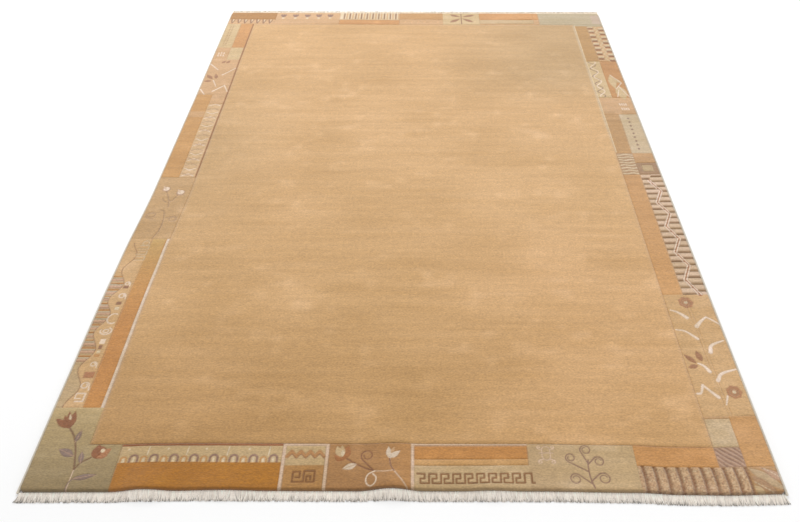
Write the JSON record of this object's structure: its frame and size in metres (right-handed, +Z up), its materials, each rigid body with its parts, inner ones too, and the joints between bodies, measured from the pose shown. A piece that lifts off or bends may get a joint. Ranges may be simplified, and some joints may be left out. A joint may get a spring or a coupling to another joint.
{
  "type": "tibetan rug",
  "caption": "Flat hand-knotted rug with a plain field, a carved patchwork border, corded long sides and a short fringe at both ends.",
  "frame": {"origin": "on the floor, under the middle of the rug's bounding box, fringes included", "axes": "+Z up, out of the pile; +Y along the rug, from the near fringe to the far one; +X to the rug's right side"},
  "size_m": [1.7206, 2.4738, 0.0229],
  "materials": {
    "pile_wool": "cut wool pile",
    "selvedge_wool": "overcast wool cord",
    "fringe_cotton": "undyed cotton yarn"
  },
  "bodies": {
    "root": {"pile": "pile_wool", "selvedge_left": "selvedge_wool", "selvedge_right": "selvedge_wool", "fringe_front": "fringe_cotton", "fringe_back": "fringe_cotton"}
  },
  "joints": []
}
